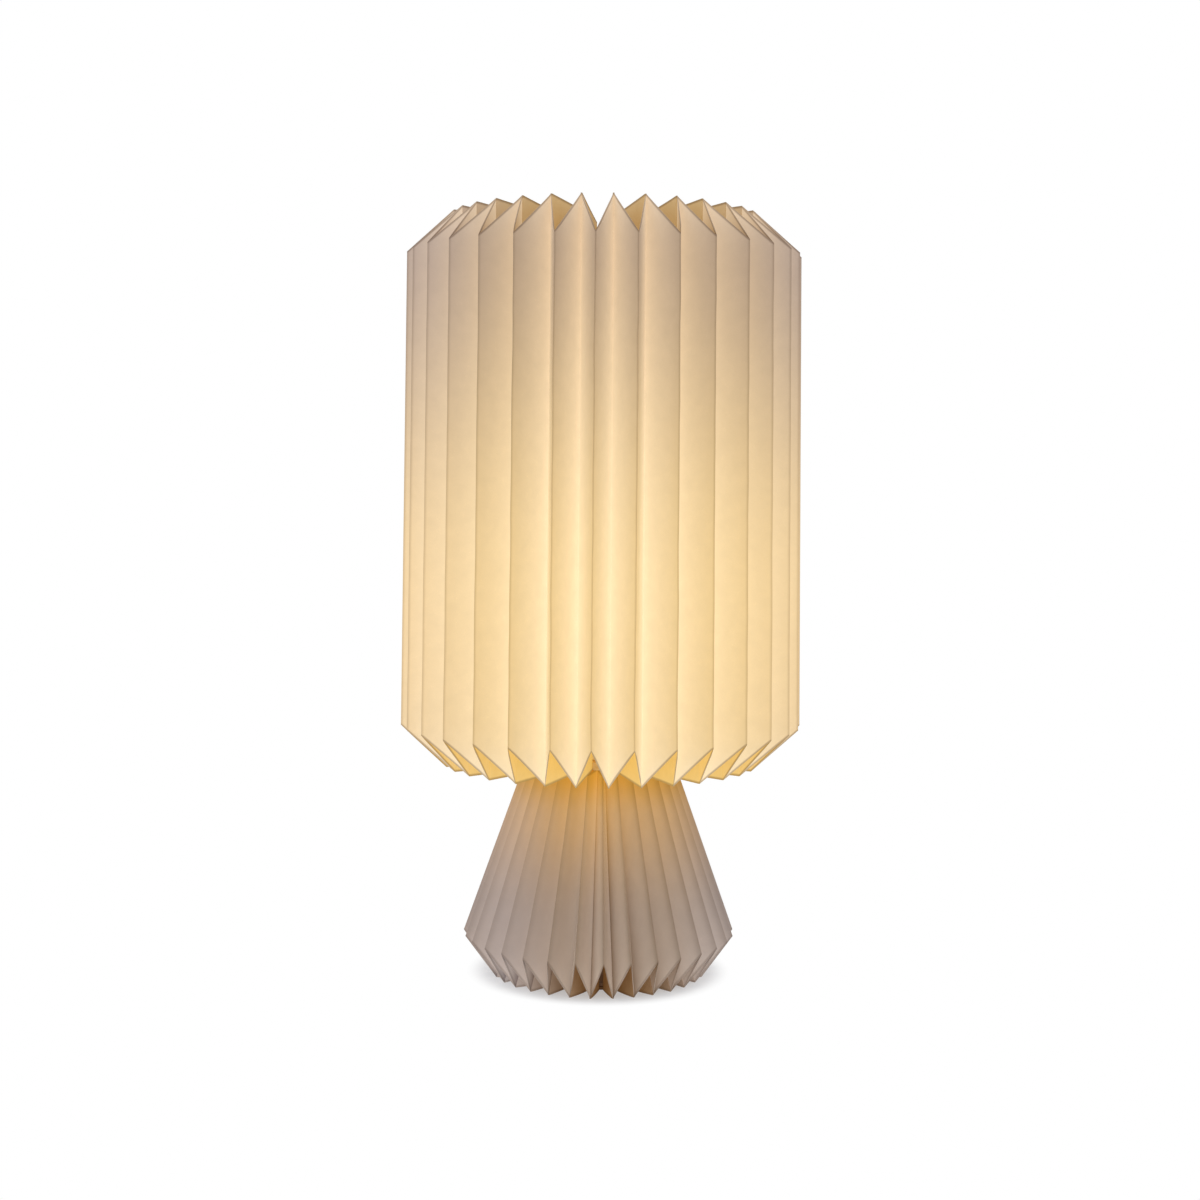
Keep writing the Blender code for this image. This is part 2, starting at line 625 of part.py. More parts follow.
def ball_arc(radius, neck):
    """Points up a ball of the globe's centre, from where it meets a neck to its top."""
    start = math.acos(neck / radius)
    points = []
    for step in range(GLOBE_ARC + 1):
        angle = -start + (math.pi / 2 + start) * step / GLOBE_ARC
        wide = radius * math.cos(angle) if step < GLOBE_ARC else 0.0
        points.append((wide, GLOBE_CENTRE + radius * math.sin(angle)))
    return points


def main():
    clear_scene()
    base = empty("lantern_base")
    shade = empty("lantern_shade", base)
    add_paper(shade, base)
    add_foot(base)
    add_foot_plate(base)
    add_door(base)
    add_switch(base)
    add_cells(base)
    add_stem(base)
    add_lamp(base)


main()
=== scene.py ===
"""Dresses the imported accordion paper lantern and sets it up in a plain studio.

The folded paper is made here by geometry nodes and stands for the plain paper strips of the frame.
Every other piece keeps its own shape and gets its finish here. Lengths are in metres.
"""
import logging
import math
from dataclasses import dataclass
from enum import Enum
from functools import partial, reduce

import bpy
from mathutils import Matrix, Vector


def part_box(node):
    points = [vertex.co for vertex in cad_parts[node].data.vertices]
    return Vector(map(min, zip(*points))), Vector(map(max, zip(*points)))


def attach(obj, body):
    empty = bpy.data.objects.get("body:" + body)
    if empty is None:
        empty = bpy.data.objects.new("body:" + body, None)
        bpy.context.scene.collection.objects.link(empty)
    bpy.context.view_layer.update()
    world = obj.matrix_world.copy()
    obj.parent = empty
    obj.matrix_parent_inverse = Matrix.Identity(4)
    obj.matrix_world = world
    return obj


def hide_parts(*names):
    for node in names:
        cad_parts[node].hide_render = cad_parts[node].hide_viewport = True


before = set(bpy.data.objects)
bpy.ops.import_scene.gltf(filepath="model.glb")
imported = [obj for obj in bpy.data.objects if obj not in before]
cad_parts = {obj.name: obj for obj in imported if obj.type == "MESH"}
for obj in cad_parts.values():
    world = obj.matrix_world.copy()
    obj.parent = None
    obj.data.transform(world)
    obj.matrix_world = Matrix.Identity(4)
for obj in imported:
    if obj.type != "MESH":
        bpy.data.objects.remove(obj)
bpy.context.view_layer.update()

LOG = logging.getLogger("lantern")
Socket = bpy.types.NodeSocket
Colour = tuple[float, float, float]
Point = tuple[float, float, float]
Span = tuple[float, float]
Feed = Socket | float | int | bool | str | tuple | list

WHITE: Colour = (1.0, 1.0, 1.0)
NOISE_MEAN = 0.5  # what a noise texture varies about


class Body(Enum):
    """The frame's bodies that new pieces ride on."""

    BASE = "base"
    SHADE = "shade"


class Plug(Enum):
    """The kinds of socket that a node group can have."""

    FLOAT = "NodeSocketFloat"
    COUNT = "NodeSocketInt"
    VECTOR = "NodeSocketVector"
    GEOMETRY = "NodeSocketGeometry"
    MATERIAL = "NodeSocketMaterial"


class Salt(Enum):
    """What a random draw decides. Each has its own number, so that no two draws agree."""

    VALLEY_PLACE = 0
    PANEL_TONE = 1
    MOUNTAIN_PLACE = 2
    RIB_TONE = 10
    RIB_VEER = 52


class Sketch:
    """Short calls that add nodes to a tree and wire them up."""

    def __init__(self, tree: bpy.types.NodeTree) -> None:
        """Keeps the tree that is being drawn."""
        self.tree = tree

    def feed(self, socket: Socket, value: Feed) -> None:
        """Links a socket to others, or sets its own value.

        Args:
            socket: The input that is fed.
            value: An output socket, a list of them, or a plain value.
        """
        if isinstance(value, list):
            for item in value:
                self.feed(socket, item)
        elif isinstance(value, bpy.types.NodeSocket):
            self.tree.links.new(value, socket)
        elif socket.type == "RGBA" and len(value) == 3:
            socket.default_value = (*value, 1.0)
        else:
            socket.default_value = value

    def add(self, kind: str, feeds: dict | None = None, **settings: object) -> bpy.types.Node:
        """Adds one node.

        Args:
            kind: The node's type name.
            feeds: What goes into its inputs, by name or number.
            settings: The node's own options.

        Returns:
            The new node.
        """
        node = self.tree.nodes.new(kind)
        for name, value in settings.items():
            setattr(node, name, value)
        for key, value in (feeds or {}).items():
            self.feed(node.inputs[key], value)
        return node

    def math(self, operation: str, *feeds: Feed) -> Socket:
        """Returns the result of one Math node."""
        return self.add("ShaderNodeMath", dict(enumerate(feeds)), operation=operation).outputs[0]

    def geo(self, kind: str, feeds: dict | None = None, **settings: object) -> Socket:
        """Returns the first output of a new geometry node."""
        return self.add("GeometryNode" + kind, feeds, **settings).outputs[0]

    def total(self, *feeds: Feed) -> Feed:
        """Returns the sum of the given values."""
        return reduce(partial(self.math, "ADD"), feeds)

    def product(self, *feeds: Feed) -> Feed:
        """Returns the product of the given values."""
        return reduce(partial(self.math, "MULTIPLY"), feeds)

    def remainder(self, share: Feed) -> Socket:
        """Returns what is left of one."""
        return self.math("SUBTRACT", 1.0, share)

    def apart(self, first: Feed, second: Feed) -> Socket:
        """Returns how far apart two values are."""
        return self.math("ABSOLUTE", self.math("SUBTRACT", first, second))

    def mound(self, share: Feed) -> Feed:
        """Returns a parabola over a share: 0 at both ends and 1 half way."""
        return self.product(share, self.remainder(share), 4.0)

    def between(self, share: Feed, low: Feed, high: Feed) -> Socket:
        """Returns the number that lies a share of the way from low to high."""
        return self.add("ShaderNodeMix", {0: share, 2: low, 3: high}).outputs[0]

    def tint(self, share: Feed, first: Feed, second: Feed, blend: str = "MIX") -> Socket:
        """Returns two colours mixed by a share.

        Args:
            share: How much of the second colour shows.
            first: The colour underneath.
            second: The colour on top.
            blend: How they are mixed.

        Returns:
            The mixed colour.
        """
        feeds = {0: share, 6: first, 7: second}
        return self.add("ShaderNodeMix", feeds, data_type="RGBA", blend_type=blend).outputs[2]

    def ramp(self, value: Feed, start: Feed, end: Feed, low: Feed = 0.0, high: Feed = 1.0) -> Socket:
        """Returns an S-curve from low at start to high at end."""
        feeds = {"Value": value, "From Min": start, "From Max": end, "To Min": low, "To Max": high}
        return self.add("ShaderNodeMapRange", feeds, interpolation_type="SMOOTHSTEP").outputs[0]

    def split(self, vector: Socket) -> tuple[Socket, Socket, Socket]:
        """Returns a vector's three parts."""
        parts = self.add("ShaderNodeSeparateXYZ", {0: vector}).outputs
        return parts[0], parts[1], parts[2]

    def join(self, x: Feed, y: Feed, z: Feed) -> Socket:
        """Returns a vector made of three parts."""
        return self.add("ShaderNodeCombineXYZ", {0: x, 1: y, 2: z}).outputs[0]

    def noise(self, vector: Socket, scale: Feed, detail: float = 2.0, roughness: float = 0.5) -> Socket:
        """Returns the value of a noise texture."""
        feeds = {"Vector": vector, "Scale": scale, "Detail": detail, "Roughness": roughness}
        return self.add("ShaderNodeTexNoise", feeds).outputs[0]

    def stored(self, name: str) -> Socket:
        """Returns a number that the mesh carries, as its material reads it."""
        return self.add("ShaderNodeAttribute", attribute_name=name).outputs["Fac"]


def new_group(
    name: str, kind: str, inputs: dict[str, Plug], outputs: dict[str, Plug]
) -> tuple[Sketch, dict[str, Socket], bpy.types.Node]:
    """Starts a node group with named sockets.

    Args:
        name: The group's name.
        kind: The type of its node tree.
        inputs: The kind of each named input.
        outputs: The kind of each named output.

    Returns:
        The group's sketch, its inputs by name and its output node.
    """
    tree = bpy.data.node_groups.new(name, kind)
    for label, plug in inputs.items():
        tree.interface.new_socket(label, in_out="INPUT", socket_type=plug.value)
    for label, plug in outputs.items():
        tree.interface.new_socket(label, in_out="OUTPUT", socket_type=plug.value)
    sketch = Sketch(tree)
    source = sketch.add("NodeGroupInput")
    return sketch, {label: source.outputs[label] for label in inputs}, sketch.add("NodeGroupOutput")


class MeshTree:
    """What every geometry-node tree here shares: how it starts and ends, and how it is run."""

    SHARP = math.radians(30)  # folds and rims sharper than this keep a hard edge
    sketch: Sketch
    size: dict[str, Socket]

    def start(self, name: str, inputs: dict[str, Plug]) -> bpy.types.Node:
        """Starts the tree's node group.

        Args:
            name: The group's name.
            inputs: The kind of each input, besides the material.

        Returns:
            The group's output node.
        """
        inputs = inputs | {"Material": Plug.MATERIAL}
        made = new_group(name, "GeometryNodeTree", inputs, {"Geometry": Plug.GEOMETRY})
        self.sketch, self.size, out = made
        return out

    def scatter(self, points: Socket, piece: Socket, turn: Socket) -> Socket:
        """Sets a copy of a piece on every point.

        Args:
            points: Where the copies go.
            piece: What is copied.
            turn: How far each copy is turned about the upright axis.

        Returns:
            The copies, as one mesh.
        """
        s = self.sketch
        turned = s.add("FunctionNodeEulerToRotation", {0: s.join(0.0, 0.0, turn)}).outputs[0]
        feeds = {"Points": points, "Instance": piece, "Rotation": turned}
        return s.geo("RealizeInstances", {"Geometry": s.geo("InstanceOnPoints", feeds)})

    def end(self, mesh: Socket, out: bpy.types.Node) -> None:
        """Ends the tree in a realized mesh with its hard edges and its material.

        Args:
            mesh: What the tree has made.
            out: The tree's output node.
        """
        s = self.sketch
        smooth = s.geo("SetShadeSmooth", {"Geometry": mesh}, domain="FACE")
        angle = s.add("GeometryNodeInputMeshEdgeAngle").outputs["Unsigned Angle"]
        hard = s.math("GREATER_THAN", angle, self.SHARP)
        feeds = {"Geometry": smooth, "Selection": hard, "Shade Smooth": False}
        sharp = s.geo("SetShadeSmooth", feeds, domain="EDGE")
        real = s.geo("RealizeInstances", {"Geometry": sharp})
        s.feed(out.inputs[0], s.geo("SetMaterial", {"Geometry": real, "Material": self.size["Material"]}))

    def run(self, name: str, sizes: dict, places: list[Point] | None = None) -> bpy.types.Object:
        """Runs the tree once and keeps the result as a plain mesh.

        Args:
            name: The new piece's name.
            sizes: The tree's inputs by name, its material among them.
            places: Points that the tree starts from, if it needs any.

        Returns:
            The new piece, with no modifier left on it.
        """
        start = bpy.data.meshes.new(name + "_places")
        start.from_pydata(places or [], [], [])
        holder = bpy.data.objects.new(name + "_nodes", start)
        bpy.context.scene.collection.objects.link(holder)
        modifier = holder.modifiers.new("nodes", "NODES")
        modifier.node_group = self.sketch.tree
        for item in self.sketch.tree.interface.items_tree:
            if item.in_out == "INPUT" and item.name in sizes:
                modifier[item.identifier] = sizes[item.name]
        graph = bpy.context.evaluated_depsgraph_get()
        mesh = bpy.data.meshes.new_from_object(holder.evaluated_get(graph))
        mesh.name = name
        bpy.data.objects.remove(holder)
        piece = bpy.data.objects.new(name, mesh)
        bpy.context.scene.collection.objects.link(piece)
        return piece


class ScrewTree(MeshTree):
    """Geometry nodes that set a cross-head screw on every given point, head downwards."""

    SIZES = (
        "Head Radius", "Chamfer", "Head", "Shank Radius", "Shank",
        "Slot Length", "Slot Width", "Slot Depth",
    )
    SIDES = 32

    def __init__(self) -> None:
        """Builds the tree."""
        inputs = {"Places": Plug.GEOMETRY} | {name: Plug.FLOAT for name in self.SIZES}
        out = self.start("Cross-head screws", inputs | {"Seed": Plug.COUNT})
        screw = self.sketch.geo("JoinGeometry", {0: [self.head(), self.shank()]})
        feeds = {2: 0.0, 3: math.pi, "Seed": self.size["Seed"]}
        turn = self.sketch.add("FunctionNodeRandomValue", feeds, data_type="FLOAT").outputs[1]
        self.end(self.scatter(self.size["Places"], screw, turn), out)

    def head(self) -> Socket:
        """Draws the head: a chamfered disc with a crossed recess in its lower face.

        Returns:
            The head's mesh.
        """
        s, size = self.sketch, self.size
        lower = s.math("SUBTRACT", size["Head Radius"], size["Chamfer"])
        feeds = {"Vertices": self.SIDES, "Radius Bottom": lower, "Radius Top": size["Head Radius"]}
        disc = s.geo("MeshCone", feeds | {"Depth": size["Head"]})
        deep = s.math("MULTIPLY", size["Slot Depth"], 2.0)
        long, wide = size["Slot Length"], size["Slot Width"]
        slots = [s.geo("MeshCube", {"Size": s.join(x, y, deep)}) for x, y in ((long, wide), (wide, long))]
        return s.geo("MeshBoolean", {0: disc, 1: slots}, operation="DIFFERENCE", solver="EXACT")

    def shank(self) -> Socket:
        """Draws the shank, which starts half way up the head.

        Returns:
            The shank's mesh.
        """
        s, size = self.sketch, self.size
        half = s.math("MULTIPLY", size["Head"], 0.5)
        length = s.math("ADD", size["Shank"], half)
        feeds = {"Vertices": self.SIDES, "Radius": size["Shank Radius"], "Depth": length}
        rod = s.geo("MeshCylinder", feeds)
        lift = s.math("MULTIPLY_ADD", length, 0.5, half)
        return s.geo("Transform", {"Geometry": rod, "Translation": s.join(0.0, 0.0, lift)})


class FoldTree(MeshTree):
    """Geometry nodes that fold a paper ring: a pleated sheet, and a rib behind every inner fold."""

    SIZES = (
        "Turn", "Low", "High", "Low Valley", "High Valley", "Depth", "Low Cut", "High Cut", "Paper",
        "Rib Inner", "Rib Low", "Rib Fall", "Skirt Inner", "Bow", "Wander", "Uneven", "Ragged", "Veer",
    )
    COUNTS = ("Pleats", "Columns", "Rows", "Seed")
    WANDER_RISE = 14.0  # how fast an outer fold's wander changes with height
    WANDER_SCALE = 2.3
    BOW_STEP = 0.77  # how far the noise moves on from panel to panel
    BOW_SCALE = 5.1
    WELD = 1e-6  # points closer than this become one

    def __init__(self) -> None:
        """Builds the tree."""
        inputs = {name: Plug.FLOAT for name in self.SIZES} | {name: Plug.COUNT for name in self.COUNTS}
        out = self.start("Folded paper ring", inputs)
        s, size = self.sketch, self.size
        self.step = s.math("DIVIDE", math.tau, size["Pleats"])
        rise = s.math("SUBTRACT", size["High"], size["Low"])
        self.slope = s.math("DIVIDE", s.math("SUBTRACT", size["High Valley"], size["Low Valley"]), rise)
        ribs = self.ribs(size["Rib Low"], size["High"], size["Rib Inner"], size["Rib Fall"])
        lower_ribs = self.ribs(size["Low"], size["Rib Low"], size["Skirt Inner"], 0.0)
        feeds = {"Switch": s.math("GREATER_THAN", size["Rib Low"], size["Low"]), "True": lower_ribs}
        skirt = s.geo("Switch", feeds, input_type="GEOMETRY")
        self.end(s.geo("JoinGeometry", {0: [self.sheet(), ribs, skirt]}), out)

    def grid(self, columns: Feed, rows: Feed) -> tuple[Socket, Socket, Socket]:
        """Adds a flat grid of unit size.

        Args:
            columns: Faces across.
            rows: Faces upwards.

        Returns:
            The grid, and each point's share of the way across and up.
        """
        s = self.sketch
        counts = {"Vertices X": s.math("ADD", columns, 1), "Vertices Y": s.math("ADD", rows, 1)}
        mesh = s.geo("MeshGrid", {"Size X": 1.0, "Size Y": 1.0} | counts)
        x, y, _ = s.split(s.geo("InputPosition"))
        return mesh, s.math("ADD", x, 0.5), s.math("ADD", y, 0.5)

    def keep(self, mesh: Socket, name: str, value: Feed, domain: str = "POINT") -> Socket:
        """Stores a number on the mesh, for its finish to read.

        Args:
            mesh: The mesh that carries the number.
            name: What the number is called.
            value: The number itself.
            domain: Whether points or faces carry it.

        Returns:
            The mesh with the number on it.
        """
        feeds = {"Geometry": mesh, "Name": name}
        node = self.sketch.add("GeometryNodeStoreNamedAttribute", feeds, data_type="FLOAT", domain=domain)
        slot = next(socket for socket in node.inputs if socket.name == "Value" and socket.enabled)
        self.sketch.feed(slot, value)
        return node.outputs[0]

    def kept(self, name: str) -> Socket:
        """Returns a number that was stored on the mesh."""
        return self.sketch.geo("InputNamedAttribute", {"Name": name}, data_type="FLOAT")

    def keep_edge(self, mesh: Socket, up: Socket, low: Feed, high: Feed) -> Socket:
        """Stores how far each point lies from the nearer cut edge.

        Args:
            mesh: The mesh that carries the number.
            up: Each point's share of the way up.
            low: Height of the lower edge.
            high: Height of the upper edge.

        Returns:
            The mesh with the number on it.
        """
        s = self.sketch
        nearest = s.math("MINIMUM", up, s.remainder(up))
        return self.keep(mesh, "inside_edge", s.product(nearest, s.math("SUBTRACT", high, low)))

    def chance(self, number: Socket, spread: Feed, salt: Salt) -> Socket:
        """Draws a random value, the same for the same number.

        Args:
            number: Which fold, panel or rib it is for.
            spread: The most that it can differ from zero, either way.
            salt: What it decides.

        Returns:
            The random value.
        """
        s = self.sketch
        seed = s.math("ADD", self.size["Seed"], salt.value)
        feeds = {2: s.math("MULTIPLY", spread, -1.0), 3: spread, "ID": number, "Seed": seed}
        return s.add("FunctionNodeRandomValue", feeds, data_type="FLOAT").outputs[1]

    def valley_angle(self, number: Socket) -> Socket:
        """Works out the angle of an inner fold, a little uneven as folded by hand.

        Args:
            number: Which fold it is, counted round the ring.

        Returns:
            Its angle about the upright axis.
        """
        s = self.sketch
        wrapped = s.math("FLOORED_MODULO", number, self.size["Pleats"])
        place = s.math("ADD", number, self.chance(wrapped, self.size["Uneven"], Salt.VALLEY_PLACE))
        return s.math("MULTIPLY_ADD", place, self.step, self.size["Turn"])

    def valley_radius(self, height: Socket) -> Socket:
        """Returns the radius of the inner folds at a height."""
        climb = self.sketch.math("SUBTRACT", height, self.size["Low"])
        return self.sketch.math("MULTIPLY_ADD", climb, self.slope, self.size["Low Valley"])

    def shell(self, mesh: Socket, offset: Socket | None) -> Socket:
        """Gives a sheet its thickness as a closed shell.

        Args:
            mesh: The sheet, which becomes the shell's back.
            offset: The way that it thickens, or None for its own normals.

        Returns:
            The closed shell.
        """
        s = self.sketch
        thick = s.add("GeometryNodeExtrudeMesh", {"Mesh": mesh, "Individual": False}, mode="FACES")
        if offset is None:
            s.feed(thick.inputs["Offset Scale"], self.size["Paper"])
        else:
            s.feed(thick.inputs["Offset"], offset)
        back = s.geo("FlipFaces", {"Mesh": mesh})
        back = self.keep(back, "within", 1.0, "FACE")
        both = s.geo("JoinGeometry", {0: [thick.outputs[0], back]})
        return s.geo("MergeByDistance", {"Geometry": both, "Distance": self.WELD})

    def sheet(self) -> Socket:
        """Folds the pleated sheet and closes it into a ring.

        Returns:
            The ring, with its thickness.
        """
        s, size = self.sketch, self.size
        columns = s.product(size["Pleats"], size["Columns"], 2)
        mesh, across, up = self.grid(columns, size["Rows"])
        pleat = s.math("MULTIPLY", across, size["Pleats"])
        panel = s.math("FLOOR", s.math("MULTIPLY", pleat, 2.0))
        mesh = self.keep(mesh, "tone", self.chance(panel, 1.0, Salt.PANEL_TONE), "FACE")
        first = s.math("FLOORED_MODULO", s.math("ADD", panel, 1.0), 2.0)
        mesh = self.keep(mesh, "first_panel", first, "FACE")
        fold = s.math("MULTIPLY", s.math("PINGPONG", pleat, 0.5), 2.0)
        mesh = self.keep(mesh, "fold", fold)

        low = s.math("MULTIPLY_ADD", size["Low Cut"], fold, size["Low"])
        high = s.math("SUBTRACT", size["High"], s.math("MULTIPLY", size["High Cut"], fold))
        height = s.between(up, low, high)
        mesh = self.keep_edge(mesh, up, low, high)
        inner = s.math("SUBTRACT", self.valley_radius(height), size["Paper"])
        outer = s.math("ADD", inner, size["Depth"])
        number = s.math("FLOOR", pleat)
        jitter = self.chance(number, size["Uneven"], Salt.MOUNTAIN_PLACE)
        middle = s.math("MULTIPLY_ADD", s.total(number, 0.5, jitter), self.step, size["Turn"])
        valley = self.valley_angle(s.math("FLOOR", s.math("ADD", pleat, 0.5)))

        cos_m, sin_m = s.math("COSINE", middle), s.math("SINE", middle)
        sway_place = s.join(cos_m, sin_m, s.product(height, self.WANDER_RISE))
        sway = s.math("SUBTRACT", s.noise(sway_place, self.WANDER_SCALE), NOISE_MEAN)
        bend_place = s.join(sin_m, cos_m, s.product(panel, self.BOW_STEP))
        bend = s.math("SUBTRACT", s.noise(bend_place, self.BOW_SCALE), NOISE_MEAN)
        wander = s.product(size["Wander"], fold, sway)
        aside = s.total(wander, s.product(size["Bow"], s.mound(fold), bend))
        x = s.between(fold, s.product(inner, s.math("COSINE", valley)), s.product(outer, cos_m))
        y = s.between(fold, s.product(inner, s.math("SINE", valley)), s.product(outer, sin_m))
        x = s.math("SUBTRACT", x, s.product(aside, sin_m))
        y = s.math("ADD", y, s.product(aside, cos_m))
        folded = s.geo("SetPosition", {"Geometry": mesh, "Position": s.join(x, y, height)})
        ring = s.geo("MergeByDistance", {"Geometry": folded, "Distance": self.WELD})
        return self.shell(ring, None)

    def ribs(self, low: Feed, high: Feed, inner: Feed, fall: Feed) -> Socket:
        """Adds one doubled rib behind every inner fold.

        Args:
            low: Height of the rib's bottom edge.
            high: Height of its top edge at the fold.
            inner: Radius of its inner edge.
            fall: How far its top edge falls towards that edge.

        Returns:
            All the ribs of the ring.
        """
        s, size = self.sketch, self.size
        mesh, across, up = self.grid(size["Columns"], size["Rows"])
        inward = s.remainder(across)
        top = s.math("SUBTRACT", high, s.math("MULTIPLY", fall, inward))
        height = s.between(up, low, top)
        reach = s.between(across, inner, s.math("SUBTRACT", self.valley_radius(height), size["Paper"]))
        mesh = self.keep(mesh, "inward", inward)
        mesh = self.keep_edge(mesh, up, low, top)
        mesh = self.keep(mesh, "sway", s.product(up, inward, size["Ragged"]))
        place = s.join(reach, size["Paper"], height)
        placed = s.geo("SetPosition", {"Geometry": mesh, "Position": place})
        rib = self.shell(placed, s.join(0.0, s.math("MULTIPLY", size["Paper"], -2.0), 0.0))
        for name in ("within", "rib"):
            rib = self.keep(rib, name, 1.0, "FACE")

        points = s.geo("Points", {"Count": size["Pleats"]})
        number = s.geo("InputIndex")
        points = self.keep(points, "tone", self.chance(number, 1.0, Salt.RIB_TONE))
        points = self.keep(points, "veer", self.chance(number, size["Veer"], Salt.RIB_VEER))
        copies = self.scatter(points, rib, self.valley_angle(number))
        x, y, _ = s.split(s.geo("InputPosition"))
        veer = s.product(self.kept("veer"), self.kept("inward"))
        lift = s.product(self.kept("sway"), self.kept("tone"))
        offset = s.join(s.product(y, veer, -1.0), s.product(x, veer), lift)
        return s.geo("SetPosition", {"Geometry": copies, "Offset": offset})


class Groups:
    """Shader node groups that several finishes share."""

    CLOUD_SCALE = 0.35  # this scale and the next are against the fibres' own
    PULP_SCALE = 6.0
    FIBRE_WIDTH = 0.012  # in noise values
    FIBRE_CLOUD: Span = (0.42, 0.6)  # cloud values over which the fibres come to show
    CLOUD_TONE = 0.6
    PULP_TONE = 0.4
    FIBRE_TONE = 0.25
    PULP_HEIGHT = 0.7
    FIBRE_HEIGHT = 0.5
    MOTTLE_CLOUD = 0.6  # the cloud's share in a hard surface's tone

    def __init__(self) -> None:
        """Builds each group once."""
        self.fibre = self.make_fibre()
        self.mottle = self.make_mottle()

    def make_fibre(self) -> bpy.types.NodeTree:
        """Draws paper pulp: a fine cloud crossed by thin fibres.

        Returns:
            The group, which gives the pulp's tone and its height.
        """
        inputs = {"Vector": Plug.VECTOR, "Scale": Plug.FLOAT}
        outputs = {"Tone": Plug.FLOAT, "Height": Plug.FLOAT}
        s, source, out = new_group("Paper fibre", "ShaderNodeTree", inputs, outputs)
        vector, scale = source["Vector"], source["Scale"]
        cloud = s.noise(vector, s.product(scale, self.CLOUD_SCALE), detail=4.0, roughness=0.6)
        pulp = s.noise(vector, s.product(scale, self.PULP_SCALE), detail=3.0, roughness=0.6)
        strand = s.apart(s.noise(vector, scale, detail=1.0), NOISE_MEAN)
        line = s.ramp(strand, 0.0, self.FIBRE_WIDTH, 1.0, 0.0)
        sparse = s.product(line, s.ramp(cloud, *self.FIBRE_CLOUD))
        cloudy = s.total(s.product(cloud, self.CLOUD_TONE), s.product(pulp, self.PULP_TONE))
        s.feed(out.inputs["Tone"], s.total(cloudy, s.product(sparse, self.FIBRE_TONE)))
        height = s.total(s.product(pulp, self.PULP_HEIGHT), s.product(sparse, self.FIBRE_HEIGHT))
        s.feed(out.inputs["Height"], height)
        return s.tree

    def make_mottle(self) -> bpy.types.NodeTree:
        """Draws the fine grain and the wide cloudiness of a hard surface.

        Returns:
            The group, which gives the surface's tone and its height.
        """
        inputs = {"Vector": Plug.VECTOR, "Grain": Plug.FLOAT, "Cloud": Plug.FLOAT}
        outputs = {"Tone": Plug.FLOAT, "Height": Plug.FLOAT}
        s, source, out = new_group("Surface mottle", "ShaderNodeTree", inputs, outputs)
        grain = s.noise(source["Vector"], source["Grain"], detail=3.0, roughness=0.6)
        cloud = s.noise(source["Vector"], source["Cloud"], detail=3.0, roughness=0.55)
        s.feed(out.inputs["Tone"], s.between(self.MOTTLE_CLOUD, grain, cloud))
        s.feed(out.inputs["Height"], grain)
        return s.tree


def new_material(name: str) -> tuple[bpy.types.Material, Sketch, bpy.types.Node, Socket]:
    """Starts a material.

    Args:
        name: The finish's name.

    Returns:
        The material, its sketch, its Principled shader and the piece's own coordinates.
    """
    material = bpy.data.materials.new(name)
    material.use_nodes = True
    sketch = Sketch(material.node_tree)
    shader = material.node_tree.nodes["Principled BSDF"]
    return material, sketch, shader, sketch.add("ShaderNodeTexCoord").outputs["Object"]


